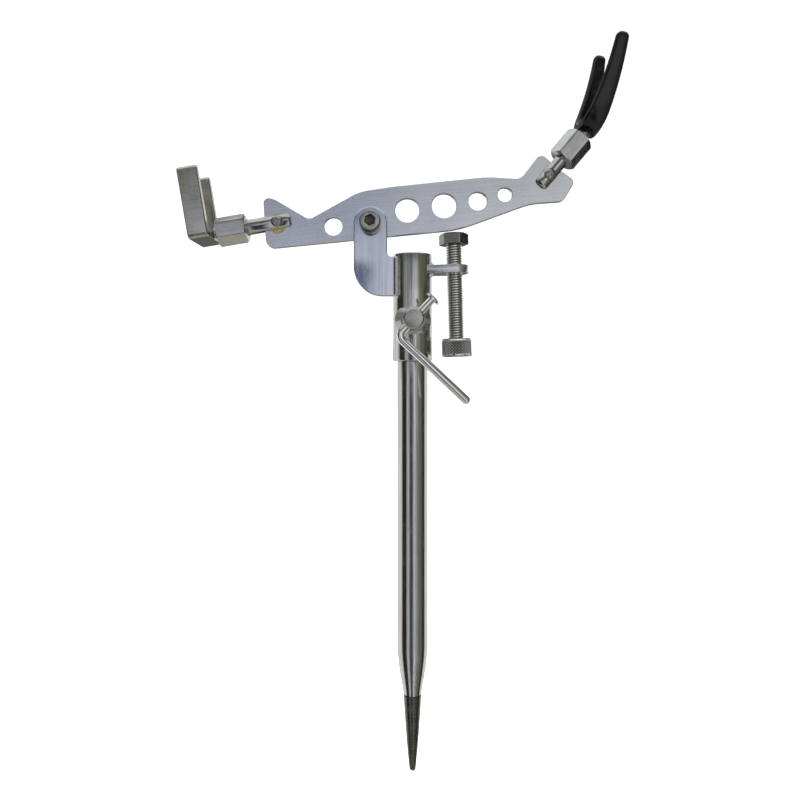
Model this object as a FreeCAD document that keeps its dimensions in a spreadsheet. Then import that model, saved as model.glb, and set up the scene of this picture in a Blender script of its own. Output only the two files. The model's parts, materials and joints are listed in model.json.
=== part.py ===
import FreeCAD, Part
import math
import os
import re

import Sketcher

# Bank-side rod holder: a ground spike with a clamped head, a tilting plate, a rear
# hook and a coated front fork, as one parametric assembly. Millimetres, +Z up.
# The origin lies on the spike's axis where its round shank begins to taper. The
# holder is seen from the front along +Y, with the fork on the +X side.

SIZES = {
    # ground spike and sleeve
    "tube_radius": 7.5, "tube_wall": 1.3, "shank_length": 142, "neck_radius": 7.3,
    "neck_top": 194, "tip_joint": -24, "tip_joint_radius": 4.5, "tip_end": -62,
    "tip_end_radius": 1.25, "tip_plug_length": 12,
    "sleeve_radius": 9.7, "sleeve_bore": 7.38, "sleeve_low": 142.1, "sleeve_high": 195,
    # pivot ear and swing plate
    "pivot_x": -20.8, "pivot_z": 209.6, "plate_turn": 5.6, "plate_thick": 3,
    "ear_front": 6.4, "ear_back": 2.4, "ear_radius": 8.2, "ear_foot": 35.6,
    "ear_corner": 14, "ear_shoulder": 16.3,
    "screw_radius": 3, "screw_head_radius": 5, "screw_head_high": 6, "screw_key": 5,
    "washer_radius": 5.4, "washer_thick": 1.5, "nut_flats": 10, "nut_high": 6.6,
    "insert_high": 1.8, "run_gap": 0.05, "side_gap": 0.1,
    # tilt adjuster
    "lug_x": 21, "lug_z": 187.5, "lug_turn": 1.6, "lug_thick": 4, "lug_half": 7,
    "bolt_radius": 4, "bolt_head_low": 12.5, "bolt_head_high": 5.5, "bolt_flats": 13,
    "bolt_end": -42.5, "knob_radius": 7.5, "knob_low": -43.5, "knob_high": 9.2,
    # height clamp
    "boss_z": 161.8, "boss_radius": 6.2, "boss_front": 14.6, "clamp_radius": 4,
    "clamp_tip": 7.6, "clamp_head_back": 16, "clamp_head_front": 24,
    "clamp_head_radius": 5, "clamp_turn": 47, "bar_y": 20, "bar_radius": 2,
    "bar_cap": 14, "bar_corner": 11, "bar_bend": 3.6, "bar_long": 46,
    # rear and front arms, along their own shafts
    "rear_x": -67.3, "rear_z": 211.2, "rear_turn": 99.7,
    "front_x": 67.8, "front_z": 234.5, "front_turn": -40.3, "fork_twist": 5.5,
    "shaft_radius": 4, "shaft_nose": 7, "slot_half": 2.05, "pin_radius": 2,
    "pin_head_radius": 2.7, "pin_seat": 3, "pin_nut_flats": 7, "pin_nut_high": 2.6,
    "disc_thick": 0.45, "rear_disc": 4.75, "rear_hang": 0.95, "front_disc": 3.8,
    "front_hang": 0.1,
    "coupling_flats": 13, "coupling_long": 15, "stud_radius": 3, "stud_seat": 7,
    "rear_slot": 14.3, "rear_coupling": 15.5, "front_slot": 9.6, "front_coupling": 10,
    # rear hook
    "hook_near": 32.4, "hook_far": 42.3, "hook_low": -3.6, "hook_tip": 31.7,
    "hook_half": 12.7, "hook_thick": 4.4, "hook_bend": 2.2, "hook_inner_bend": 1.4,
    # front fork
    "fork_base": 27.4, "fork_reach": 38.5, "fork_base_width": 10.4,
    "fork_tip_width": 6.2, "fork_strip": 4.2, "fork_foot": 10, "fork_mouth": 14,
    "coat_thick": 1,
}

PLATE_HOLES = [(-18.6, 1.2, 4.5), (18.8, 5.6, 6.0), (37.3, 6.1, 6.15),
               (54.2, 6.7, 4.6), (68.0, 8.6, 3.6)]

# The plate's outline from its lower left corner, about the main pivot: x, z, radius.
PLATE_OUTLINE = [
    (-52.95, -6.6, 4.2), (43.5, -6.5, 60), (80.5, 3.0, 32), (96.4, 2.5, 3.2),
    (103.7, 12.2, 3.4), (97.3, 17.3, 1.5), (88.9, 26.3, 2.2), (86.0, 25.9, 1.2),
    (76.4, 15.7, 5), (60, 18.4, 60), (12, 18.1, 60), (-4, 17.3, 25), (-30.3, 5.9, 3.6),
    (-46.5, 17.7, 9), (-52.0, 19.4, 2.6)]

doc = FreeCAD.newDocument("RodHolder")
sheet = doc.addObject("Spreadsheet::Sheet", "Sizes")
nodes = {}


def size(name):
    return float(SIZES[name])


def fill_sheet():
    for row, (name, value) in enumerate(SIZES.items(), start=1):
        sheet.set(f"A{row}", name)
        sheet.set(f"B{row}", str(value))
        sheet.setAlias(f"B{row}", name)
    doc.recompute()


def linked(text):
    """An expression in the sheet's aliases, written out for setExpression."""
    def prefix(word):
        return f"Sizes.{word[0]}" if word[0] in SIZES else word[0]
    return re.sub(r"[a-z_]+", prefix, str(text))


def new_body(label, x="0", y="0", z="0", turn="0", listed=True):
    """A body at x, y, z, turned counter-clockwise as seen from the front."""
    body = doc.addObject("PartDesign::Body", label)
    body.Label = label
    body.Placement = FreeCAD.Placement(FreeCAD.Vector(), FreeCAD.Vector(0, -1, 0), 1)
    body.setExpression("Placement.Base.x", linked(x))
    body.setExpression("Placement.Base.y", linked(y))
    body.setExpression("Placement.Base.z", linked(z))
    body.setExpression("Placement.Rotation.Angle", linked(turn))
    if listed:
        nodes[label] = body
    return body


def new_sketch(body, role, lift="0"):
    """A sketch on one of the body's own planes, lifted along the plane's normal."""
    sketch = body.newObject("Sketcher::SketchObject", "profile")
    plane = next(f for f in body.Origin.OriginFeatures if f.Role == role)
    sketch.AttachmentSupport = [(plane, "")]
    sketch.MapMode = "FlatFace"
    sketch.setExpression("AttachmentOffset.Base.z", linked(lift))
    return sketch


def pin_point(sketch, edge, end, x, y):
    """Holds an edge's end at x, y, both expressions in the sheet's aliases."""
    here = sketch.Geometry[edge].StartPoint if end == 1 else sketch.Geometry[edge].Center
    for kind, text, value in (("DistanceX", x, here.x), ("DistanceY", y, here.y)):
        index = sketch.addConstraint(Sketcher.Constraint(kind, -1, 1, edge, end, value))
        sketch.setExpression(f"Constraints[{index}]", linked(text))


def polygon(sketch, corners):
    first = sketch.GeometryCount
    count = len(corners)
    ring = [FreeCAD.Vector(9 * math.cos(2 * math.pi * i / count),
                           9 * math.sin(2 * math.pi * i / count), 0)
            for i in range(count)]
    for i in range(count):
        sketch.addGeometry(Part.LineSegment(ring[i], ring[(i + 1) % count]), False)
    for i in range(count):
        following = first + (i + 1) % count
        sketch.addConstraint(Sketcher.Constraint("Coincident", first + i, 2, following, 1))
    for i, (x, y) in enumerate(corners):
        pin_point(sketch, first + i, 1, x, y)


def circle(sketch, x, y, radius):
    ring = Part.Circle(FreeCAD.Vector(1, 1, 0), FreeCAD.Vector(0, 0, 1), 2)
    edge = sketch.addGeometry(ring, False)
    pin_point(sketch, edge, 3, x, y)
    index = sketch.addConstraint(Sketcher.Constraint("Radius", edge, 2.0))
    sketch.setExpression(f"Constraints[{index}]", linked(radius))


def hexagon(sketch, flats, start=0):
    corner = f"({flats}) / sqrt(3)"
    polygon(sketch, [(f"{corner} * cos({start + 60 * i} deg)",
                      f"{corner} * sin({start + 60 * i} deg)") for i in range(6)])


def pad(body, sketch, length, midplane=False, reverse=False):
    feature = body.newObject("PartDesign::Pad", "pad")
    feature.Profile = sketch
    feature.setExpression("Length", linked(length))
    feature.Midplane = midplane
    feature.Reversed = reverse
    return feature


def cut_through(body, sketch):
    """A pocket right through the body, both ways from its sketch."""
    feature = body.newObject("PartDesign::Pocket", "pocket")
    feature.Profile = sketch
    feature.Type = "ThroughAll"
    feature.Midplane = True


def cut_depth(body, sketch, depth):
    feature = body.newObject("PartDesign::Pocket", "pocket")
    feature.Profile = sketch
    feature.setExpression("Length", linked(depth))


def turned(body, sketch, axis="V_Axis", kind="PartDesign::Revolution"):
    """A full turn of the sketch about one of its own axes, added or cut."""
    feature = body.newObject(kind, "turning")
    feature.Profile = sketch
    feature.ReferenceAxis = (sketch, [axis])
    feature.Angle = 360


def lathe(body, corners, role="XZ_Plane", kind="PartDesign::Revolution"):
    """Turns a profile about Z, or about Y where it is drawn on the XY plane."""
    sketch = new_sketch(body, role)
    polygon(sketch, corners)
    turned(body, sketch, kind=kind)


def crown(body, flats, face, inward):
    """Bevels the corners of a hexagon at its face; inward is + or - along Z."""
    rim = f"({flats}) / sqrt(3) + 1"
    land = f"({flats}) * 0.46"
    lathe(body, [(land, face), (rim, face),
                 (rim, f"({face}) {inward} ({rim} - {land}) * 0.577")],
          kind="PartDesign::Groove")


def soften(body, feature, kind, amount, wanted):
    """Fillets or chamfers the edges of a feature for which wanted(edge) holds."""
    doc.recompute()
    edges = [f"Edge{i}" for i, edge in enumerate(feature.Shape.Edges, start=1)
             if wanted(edge)]
    dress = body.newObject(kind, "edges")
    dress.Base = (feature, edges)
    if kind == "PartDesign::Fillet":
        dress.Radius = amount
    else:
        dress.Size = amount
    doc.recompute()
    return dress


def arc(a, b, c):
    return Part.Arc(*(FreeCAD.Vector(x, y, 0) for x, y in (a, b, c)))


def line(a, b):
    return Part.LineSegment(FreeCAD.Vector(*a, 0), FreeCAD.Vector(*b, 0))


def rounded(sketch, corners):
    """A closed outline of straight runs, each corner (x, y, radius) a tangent arc."""
    spots = [FreeCAD.Vector(x, y, 0) for x, y, _ in corners]
    bends = []
    for i, (_, _, radius) in enumerate(corners):
        spot = spots[i]
        back = (spots[i - 1] - spot).normalize()
        ahead = (spots[(i + 1) % len(spots)] - spot).normalize()
        half = back.getAngle(ahead) / 2
        reach = radius / math.tan(half)
        halfway = (back + ahead).normalize() * (radius / math.sin(half) - radius)
        bends.append((spot + back * reach, spot + halfway, spot + ahead * reach))
    for i, (start, middle, end) in enumerate(bends):
        if corners[i][2]:
            sketch.addGeometry(Part.Arc(start, middle, end), False)
        following = bends[(i + 1) % len(bends)][0]
        if following.distanceToPoint(end) > 1e-6:
            sketch.addGeometry(Part.LineSegment(end, following), False)


# ---------------------------------------------------------------- ground spike

def spike_tube():
    body = new_body("spike_tube")
    inner = "tube_radius - tube_wall"
    lathe(body, [
        ("tip_joint_radius", "tip_joint"), ("tube_radius * 0.87", "-9"),
        ("tube_radius * 0.97", "-3"), ("tube_radius", "0"),
        ("tube_radius", "shank_length - 0.2"), ("neck_radius", "shank_length"),
        ("neck_radius", "neck_top - 0.5"), ("neck_radius - 0.5", "neck_top"),
        (inner, "neck_top"), (inner, "-3"), ("tip_joint_radius - tube_wall", "tip_joint")])


def spike_tip():
    body = new_body("spike_tip")
    plug = "tip_joint_radius - tube_wall - 0.02"
    lathe(body, [
        ("0", "tip_end"), ("tip_end_radius", "tip_end"), ("tip_end_radius + 0.5", "tip_end + 1"),
        ("2.7", "-50"), ("3.7", "-36"), ("tip_joint_radius", "tip_joint"),
        (plug, "tip_joint"), (plug, "tip_joint + tip_plug_length"),
        ("0", "tip_joint + tip_plug_length")])


# ------------------------------------------------------------- welded head parts

def clamp_sleeve():
    body = new_body("clamp_sleeve")
    lathe(body, [
        ("sleeve_bore", "sleeve_low"), ("sleeve_radius - 0.5", "sleeve_low"),
        ("sleeve_radius", "sleeve_low + 0.5"), ("sleeve_radius", "sleeve_high - 0.5"),
        ("sleeve_radius - 0.5", "sleeve_high"), ("sleeve_bore", "sleeve_high")])
    hole = new_sketch(body, "XZ_Plane", "sleeve_radius + 2")
    circle(hole, "0", "boss_z", "clamp_radius + run_gap")
    cut_depth(body, hole, "sleeve_radius + 2")


def pivot_ear():
    body = new_body("pivot_ear", "pivot_x", "0", "pivot_z")
    outline = new_sketch(body, "XZ_Plane", "ear_back")
    r, foot, shoulder = size("ear_radius"), size("ear_foot"), size("ear_shoulder")
    weld_side = 14
    rounded(outline, [(r, r, r), (-r, r, r), (-r, -foot, size("ear_corner")),
                      (weld_side, -foot, 0), (weld_side, -shoulder, 0), (r, -shoulder, 2)])
    circle(outline, "0", "0", "screw_radius + run_gap")
    slab = pad(body, outline, "ear_front - ear_back")
    slab = soften(body, slab, "PartDesign::Chamfer", 0.4, lambda e: ear_rim(e))
    notch = new_sketch(body, "XY_Plane")
    circle(notch, "-pivot_x", "0", "sleeve_radius")
    cut_through(body, notch)


def ear_rim(edge):
    """The ear's outer edges on its front face."""
    middle = edge.valueAt((edge.FirstParameter + edge.LastParameter) / 2)
    at_front = abs(middle.y + size("ear_front")) < 0.01
    return at_front and middle.x < 13 and abs(middle.z) + abs(middle.x) > 4.5


def screw_lug():
    body = new_body("screw_lug", "lug_x", "0", "lug_z", "lug_turn")
    outline = new_sketch(body, "XY_Plane", "-lug_thick / 2")
    half, root = size("lug_half"), -16
    rounded(outline, [(root, -half, 0), (half, -half, half), (half, half, half),
                      (root, half, 0)])
    circle(outline, "0", "0", "bolt_radius + run_gap")
    slab = pad(body, outline, "lug_thick")
    soften(body, slab, "PartDesign::Chamfer", 0.3,
           lambda e: e.Length > 18 and abs(e.BoundBox.ZLength) < 0.01)
    notch = new_sketch(body, "XY_Plane")
    circle(notch, "-lug_x", "0", "sleeve_radius + 0.06")
    cut_through(body, notch)


def clamp_boss():
    body = new_body("clamp_boss", "0", "0", "boss_z")
    lathe(body, [
        ("clamp_radius + run_gap", "-6"), ("boss_radius", "-6"),
        ("boss_radius", "0.6 - boss_front"), ("boss_radius - 0.6", "-boss_front"),
        ("clamp_radius + run_gap", "-boss_front")], role="XY_Plane")
    notch = new_sketch(body, "XY_Plane")
    circle(notch, "0", "0", "sleeve_radius")
    cut_through(body, notch)


def weld_beads(neighbours):
    """Fillet welds: a ring round the boss, runs along the ear and round the lug."""
    ring = Part.makeCone(size("boss_radius") + 2.6, size("boss_radius"), 3,
                         FreeCAD.Vector(0, -7.3, size("boss_z")), FreeCAD.Vector(0, -1, 0))
    low = size("pivot_z") - size("ear_foot") + 0.4
    high = size("pivot_z") - size("ear_shoulder") - 0.8
    ear_x, lug_x = -8.0, 8.9
    runs = [Part.makeCylinder(1.5, high - low, FreeCAD.Vector(ear_x, -size("ear_front"), low)),
            Part.makeCylinder(1.3, high - low, FreeCAD.Vector(ear_x - 1.3, -size("ear_back"), low))]
    turn = math.radians(size("lug_turn"))
    lug_z = size("lug_z") - (size("lug_x") - lug_x) * math.sin(turn)
    for side in (-1, 1):
        start = FreeCAD.Vector(lug_x, -5.2, lug_z + side * size("lug_thick") / 2)
        runs.append(Part.makeCylinder(1.4, 10.4, start, FreeCAD.Vector(0, 1, 0)))
    feature = doc.addObject("Part::Feature", "weld_beads")
    feature.Label = "weld_beads"
    sleeve = Part.makeCylinder(size("sleeve_radius"), 80, FreeCAD.Vector(0, 0, 130))
    pieces = [bead.cut([sleeve] + neighbours).Solids for bead in [ring] + runs]
    feature.Shape = Part.makeCompound([max(solids, key=lambda s: s.Volume)
                                       for solids in pieces])
    nodes["weld_beads"] = feature


# -------------------------------------------------------------------- main pivot

def pivot_screw():
    body = new_body("pivot_screw", "pivot_x", "0", "pivot_z", "20")
    base = "-ear_front - washer_thick"
    lathe(body, [
        ("0", f"{base} - screw_head_high"),
        ("screw_head_radius - 0.5", f"{base} - screw_head_high"),
        ("screw_head_radius", f"{base} - screw_head_high + 0.5"),
        ("screw_head_radius", base), ("screw_radius", base),
        ("screw_radius", "10.4"), ("screw_radius - 0.6", "11"), ("0", "11")],
        role="XY_Plane")
    key = new_sketch(body, "XZ_Plane", "ear_front + washer_thick + screw_head_high")
    hexagon(key, "screw_key")
    cut_depth(body, key, "3")


def washer(label, low, thick, inner, outer, x, z):
    """A flat ring about the Y axis, its front face at -low."""
    body = new_body(label, x, "0", z, listed=False)
    lathe(body, [(inner, f"{low}"), (outer, f"{low}"), (outer, f"{low} + {thick}"),
                 (inner, f"{low} + {thick}")], role="XY_Plane")
    return body


def group(label, bodies):
    feature = doc.addObject("Part::Compound", label)
    feature.Label = label
    feature.Links = bodies
    nodes[label] = feature


def pivot_washers():
    inner = "screw_radius + run_gap"
    front = washer("front_washer", "-ear_front - washer_thick", "washer_thick", inner,
                   "washer_radius", "pivot_x", "pivot_z")
    back = washer("back_washer", "plate_thick / 2 + side_gap", "washer_thick", inner,
                  "washer_radius", "pivot_x", "pivot_z")
    group("pivot_washers", [front, back])


def pivot_spacer():
    ring = washer("pivot_spacer", "-ear_back", "ear_back - plate_thick / 2 - side_gap",
                  "screw_radius + run_gap", "washer_radius + 1", "pivot_x", "pivot_z")
    nodes["pivot_spacer"] = ring


def pivot_lock_nut():
    body = new_body("pivot_lock_nut", "pivot_x", "0", "pivot_z")
    start = "-plate_thick / 2 - side_gap - washer_thick"
    face = new_sketch(body, "XZ_Plane", start)
    hexagon(face, "nut_flats")
    circle(face, "0", "0", "screw_radius")
    pad(body, face, "nut_high - insert_high", reverse=True)
    lathe(body, [("screw_radius + 1.1", f"-({start}) + nut_high - insert_high"),
                 ("nut_flats * 0.47", f"-({start}) + nut_high - insert_high"),
                 ("nut_flats * 0.44", f"-({start}) + nut_high"),
                 ("screw_radius + 1.1", f"-({start}) + nut_high")], role="XY_Plane")
    ring = washer("nut_insert", f"-({start}) + nut_high - insert_high", "insert_high - 0.2",
                  "screw_radius", "screw_radius + 1.1", "pivot_x", "pivot_z")
    nodes["nut_insert"] = ring


# ------------------------------------------------------------------- swing plate

def swing_plate():
    body = new_body("swing_plate", "pivot_x", "0", "pivot_z", "plate_turn")
    outline = new_sketch(body, "XZ_Plane")
    rounded(outline, PLATE_OUTLINE)
    circle(outline, "0", "0", "screw_radius + run_gap")
    circle(outline, *plate_place("rear"), "pin_radius + run_gap")
    circle(outline, *plate_place("front"), "pin_radius + run_gap")
    for x, z, radius in PLATE_HOLES:
        circle(outline, str(x), str(z), str(radius))
    slab = pad(body, outline, "plate_thick", midplane=True)
    soften(body, slab, "PartDesign::Chamfer", 0.25,
           lambda e: e.BoundBox.YLength < 0.01 and not is_bore(e))


def plate_place(end):
    """An arm's pivot in the plate's own turned axes, as two expressions."""
    along, up = f"({end}_x - pivot_x)", f"({end}_z - pivot_z)"
    cosine, sine = "cos(plate_turn * 1 deg)", "sin(plate_turn * 1 deg)"
    return f"{along} * {cosine} + {up} * {sine}", f"{up} * {cosine} - {along} * {sine}"


def is_bore(edge):
    """A pivot hole's edge, which stays sharp for its full bearing length."""
    return isinstance(edge.Curve, Part.Circle) and edge.Closed and edge.Curve.Radius < 3.2


# ----------------------------------------------------------------- tilt adjuster

def adjusting_bolt():
    body = new_body("adjusting_bolt", "lug_x", "0", "lug_z", "lug_turn")
    lathe(body, [("0", "bolt_end"), ("bolt_radius - 0.8", "bolt_end"),
                 ("bolt_radius", "bolt_end + 0.8"), ("bolt_radius", "bolt_head_low"),
                 ("0", "bolt_head_low")])
    head = new_sketch(body, "XY_Plane", "bolt_head_low")
    hexagon(head, "bolt_flats", start=-12)
    pad(body, head, "bolt_head_high")
    crown(body, "bolt_flats", "bolt_head_low + bolt_head_high", "-")


def knurled_knob():
    body = new_body("knurled_knob", "lug_x", "0", "lug_z", "lug_turn")
    bore, high = "bolt_radius + run_gap", "knob_low + knob_high"
    lathe(body, [
        (bore, "knob_low"), ("knob_radius - 0.7", "knob_low"),
        ("knob_radius", "knob_low + 0.7"), ("knob_radius", f"{high} - 0.7"),
        ("knob_radius - 0.7", high), (bore, high)])


# ------------------------------------------------------------------ height clamp

def clamp_screw():
    body = new_body("clamp_screw", "0", "0", "boss_z", "clamp_turn")
    lathe(body, [
        ("0", "-clamp_head_front"), ("clamp_head_radius - 0.8", "-clamp_head_front"),
        ("clamp_head_radius", "0.8 - clamp_head_front"),
        ("clamp_head_radius", "-clamp_head_back"), ("clamp_radius", "-clamp_head_back"),
        ("clamp_radius", "-clamp_tip - 0.6"), ("clamp_radius - 0.6", "-clamp_tip"),
        ("0", "-clamp_tip")], role="XY_Plane")
    cross = new_sketch(body, "YZ_Plane")
    circle(cross, "-bar_y", "0", "bar_radius + run_gap")
    cut_through(body, cross)


def clamp_bar():
    body = new_body("clamp_bar", "0", "-bar_y", "boss_z", "clamp_turn")
    cap, corner, bend = size("bar_cap"), size("bar_corner"), size("bar_bend")
    path = new_sketch(body, "XZ_Plane")
    inset = bend * (1 - math.sqrt(0.5))
    for piece in (
            line((cap - 1, 0), (bend - corner, 0)),
            arc((bend - corner, 0), (inset - corner, -inset), (-corner, -bend)),
            line((-corner, -bend), (-corner, -size("bar_long") + 2))):
        path.addGeometry(piece, False)
    section = new_sketch(body, "YZ_Plane", "bar_cap - 1")
    circle(section, "0", "0", "bar_radius")
    rod = body.newObject("PartDesign::AdditivePipe", "rod")
    rod.Profile = section
    rod.Spine = path
    flange = new_sketch(body, "XZ_Plane")
    polygon(flange, [("bar_cap - 1.5", "0"), ("bar_cap - 1.5", "4"), ("bar_cap - 0.9", "4"),
                     ("bar_cap", "2.4"), ("bar_cap + 0.2", "0")])
    turned(body, flange, "H_Axis")
    end = new_sketch(body, "XZ_Plane")
    low = "-bar_long"
    polygon(end, [("-bar_corner", low), ("-bar_corner + 1", f"{low} + 0.3"),
                  ("-bar_corner + 1.7", f"{low} + 1"), ("-bar_corner + bar_radius", f"{low} + 2"),
                  ("-bar_corner", f"{low} + 2")])
    tip = body.newObject("PartDesign::Revolution", "tip")
    tip.Profile = end
    tip.ReferenceAxis = (end, ["Edge5"])
    tip.Angle = 360


# ------------------------------------------------------------------ hinged arms
# Each arm is drawn with Z along its shaft, away from the plate, and Y as in the row.

def arm_body(label, end, listed=True):
    return new_body(label, f"{end}_x", "0", f"{end}_z", f"{end}_turn", listed)


def arm_shaft(end):
    """A round shaft, slotted for the plate, with a spigot for its coupling."""
    body = arm_body(f"{end}_shaft", end)
    shoulder = f"{end}_coupling"
    lathe(body, [
        ("0", "-shaft_nose"), ("shaft_radius - 1", "-shaft_nose"),
        ("shaft_radius", "1 - shaft_nose"), ("shaft_radius", shoulder),
        ("stud_radius", shoulder), ("stud_radius", f"{shoulder} + stud_seat"),
        ("0", f"{shoulder} + stud_seat")])
    slot = new_sketch(body, "YZ_Plane")
    polygon(slot, [("-slot_half", "-shaft_nose - 1"), ("slot_half", "-shaft_nose - 1"),
                   ("slot_half", f"{end}_slot"), ("-slot_half", f"{end}_slot")])
    cut_through(body, slot)
    lathe(body, [("0", "-5"), ("pin_head_radius + 0.1", "-5"),
                 ("pin_head_radius + 0.1", "-pin_seat"), ("pin_radius", "-pin_seat"),
                 ("pin_radius", "5"), ("0", "5")],
          role="XY_Plane", kind="PartDesign::Groove")


def arm_screw(end):
    body = arm_body(f"{end}_screw", end)
    lathe(body, [
        ("0", "-pin_seat - 1.3"), ("pin_head_radius - 0.9", "-pin_seat - 1.25"),
        ("pin_head_radius - 0.2", "-pin_seat - 0.8"), ("pin_head_radius", "-pin_seat - 0.3"),
        ("pin_head_radius", "-pin_seat"), ("pin_radius", "-pin_seat"),
        ("pin_radius", "7.2"), ("pin_radius - 0.4", "7.6"), ("0", "7.6")],
        role="XY_Plane")
    cross = new_sketch(body, "XZ_Plane", "pin_seat + 1.5")
    polygon(cross, [("0.4", "0.4"), ("0.4", "1.5"), ("-0.4", "1.5"), ("-0.4", "0.4"),
                    ("-1.5", "0.4"), ("-1.5", "-0.4"), ("-0.4", "-0.4"), ("-0.4", "-1.5"),
                    ("0.4", "-1.5"), ("0.4", "-0.4"), ("1.5", "-0.4"), ("1.5", "0.4")])
    cut_depth(body, cross, "1.3")


def arm_nut(end):
    body = arm_body(f"{end}_screw_nut", end)
    face = new_sketch(body, "XZ_Plane", "-shaft_radius")
    hexagon(face, "pin_nut_flats")
    circle(face, "0", "0", "pin_radius")
    pad(body, face, "pin_nut_high", reverse=True)


def arm_discs(end):
    """Two thin brass discs, one on each side of the plate, hanging on the screw."""
    inner, low = f"pin_radius + run_gap + {end}_hang", f"{end}_z - {end}_hang"
    near = washer(f"{end}_disc_near", "-plate_thick / 2 - side_gap / 2 - disc_thick",
                  "disc_thick", inner, f"{end}_disc", f"{end}_x", low)
    far = washer(f"{end}_disc_far", "plate_thick / 2 + side_gap / 2", "disc_thick",
                 inner, f"{end}_disc", f"{end}_x", low)
    group(f"{end}_pivot_discs", [near, far])


def arm_coupling(end):
    """A long hexagon nut: tight on the shaft's spigot, running on the swivel stud."""
    body = arm_body(f"{end}_coupling", end)
    low = f"{end}_coupling"
    high = f"{end}_coupling + coupling_long"
    prism = new_sketch(body, "XY_Plane", low)
    hexagon(prism, "coupling_flats")
    pad(body, prism, "coupling_long")
    crown(body, "coupling_flats", low, "+")
    crown(body, "coupling_flats", high, "-")
    middle = f"{low} + stud_seat + 0.2"
    lathe(body, [("0", f"{low} - 1"), ("stud_radius", f"{low} - 1"), ("stud_radius", middle),
                 ("stud_radius + run_gap", middle), ("stud_radius + run_gap", f"{high} + 1"),
                 ("0", f"{high} + 1")], kind="PartDesign::Groove")


def arm_stud(end, far):
    body = arm_body(f"{end}_stud", end)
    near = f"{end}_coupling + stud_seat + 0.6"
    lathe(body, [("0", near), ("stud_radius - 0.6", near), ("stud_radius", f"{near} + 0.6"),
                 ("stud_radius", far), ("0", far)])


def rear_hook():
    """A flat strip bent into a square-bottomed U across the shaft's axis."""
    body = arm_body("rear_hook", "rear")
    outline = new_sketch(body, "XY_Plane", "hook_near")
    half, thick = size("hook_half"), size("hook_thick")
    low, tip, bend = size("hook_low"), size("hook_tip"), size("hook_bend")
    inner_bend = size("hook_inner_bend")
    inner, floor = half - thick, low + thick
    rounded(outline, [(tip, -half, 2), (low, -half, bend), (low, half, bend),
                      (tip, half, 2), (tip, inner, 2), (floor, inner, inner_bend),
                      (floor, -inner, inner_bend), (tip, -inner, 2)])
    strip = pad(body, outline, "hook_far - hook_near")
    soften(body, strip, "PartDesign::Fillet", 0.9, lambda e: e.BoundBox.ZLength < 0.01)


def prong_edge(t, side, inset):
    """A point on a prong's edge, t from 0 at the base to 1 at the tip."""
    rise = t * size("fork_reach")
    centre = 0.5 - 0.29 * rise - 0.003845 * rise ** 2
    lean = math.atan(0.29 + 0.00769 * rise)
    width = size("fork_base_width") * (1 - t) + size("fork_tip_width") * t
    half = side * (width / 2 - inset)
    return centre + half * math.cos(lean), size("fork_base") + rise + half * math.sin(lean)


def fork_side(inset):
    """The fork's side view: a band that curves back and narrows to its tip."""
    edges = []
    for side in (-1, 1):
        low, mid, high = (prong_edge(t, side, inset) for t in (-0.12, 0.5, 1))
        edges.append(arc(low, mid, high).toShape())
    left, right = edges
    crest = prong_edge(1.07, 0, inset)
    back_off = (crest[0] * (1 - inset / 40), crest[1] - inset)
    start = right.valueAt(right.LastParameter)
    end = left.valueAt(left.LastParameter)
    tip = arc((start.x, start.y), back_off, (end.x, end.y)).toShape()
    foot = line(prong_edge(-0.12, -1, inset), prong_edge(-0.12, 1, inset)).toShape()
    face = Part.Face(Part.Wire(Part.__sortEdges__([left, right, tip, foot])))
    face.rotate(FreeCAD.Vector(), FreeCAD.Vector(1, 0, 0), 90)
    face.translate(FreeCAD.Vector(0, 30, 0))
    return face.extrude(FreeCAD.Vector(0, -60, 0))


def fork_plan(inset):
    """The fork's front view: a round-bottomed U whose prongs open slightly."""
    foot, strip = size("fork_foot"), size("fork_strip")
    opening = math.atan((size("fork_mouth") - foot) / (size("fork_reach") - foot))
    cosine, sine = math.cos(opening), math.sin(opening)
    centre = size("fork_base") + foot + strip / 2
    run = size("fork_reach") + 10
    pieces, tips = [], []
    for radius in (foot + strip / 2 - inset, foot - strip / 2 + inset):
        knee = (radius * cosine, centre - radius * sine)
        tip = (knee[0] + run * sine, knee[1] + run * cosine)
        left_knee, left_tip = (-knee[0], knee[1]), (-tip[0], tip[1])
        pieces += [arc(left_knee, (0, centre - radius), knee),
                   line(knee, tip), line(left_knee, left_tip)]
        tips += [tip, left_tip]
    pieces += [line(tips[0], tips[2]), line(tips[1], tips[3])]
    edges = [piece.toShape() for piece in pieces]
    face = Part.Face(Part.Wire(Part.__sortEdges__(edges)))
    face.rotate(FreeCAD.Vector(), FreeCAD.Vector(1, 1, 1), 120)
    face.translate(FreeCAD.Vector(-40, 0, 0))
    return face.extrude(FreeCAD.Vector(80, 0, 0))


def fork_shape(inset, rounding):
    band = fork_side(inset).common(fork_plan(inset))
    long_edges = [e for e in band.Edges if e.Length > 6]
    return band.makeFillet(rounding, long_edges)


def fork_parts():
    """A steel strip fork and the thick dipped coat over it, swivelled on its stud."""
    place = FreeCAD.Placement(
        FreeCAD.Vector(size("front_x"), 0, size("front_z")),
        FreeCAD.Rotation(FreeCAD.Vector(0, -1, 0), size("front_turn"))
        .multiply(FreeCAD.Rotation(FreeCAD.Vector(0, 0, 1), size("fork_twist"))))
    stud_top = size("fork_base") + size("fork_strip") - size("coat_thick")
    stud = Part.makeCylinder(size("stud_radius"), stud_top)
    core = fork_shape(size("coat_thick"), 0.5)
    coat = fork_shape(0, 1.5).cut([core, stud])
    for label, shape in (("fork_core", core.cut(stud)), ("fork_coating", coat)):
        feature = doc.addObject("Part::Feature", label)
        feature.Label = label
        feature.Shape = shape
        feature.Placement = place
        nodes[label] = feature


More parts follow.
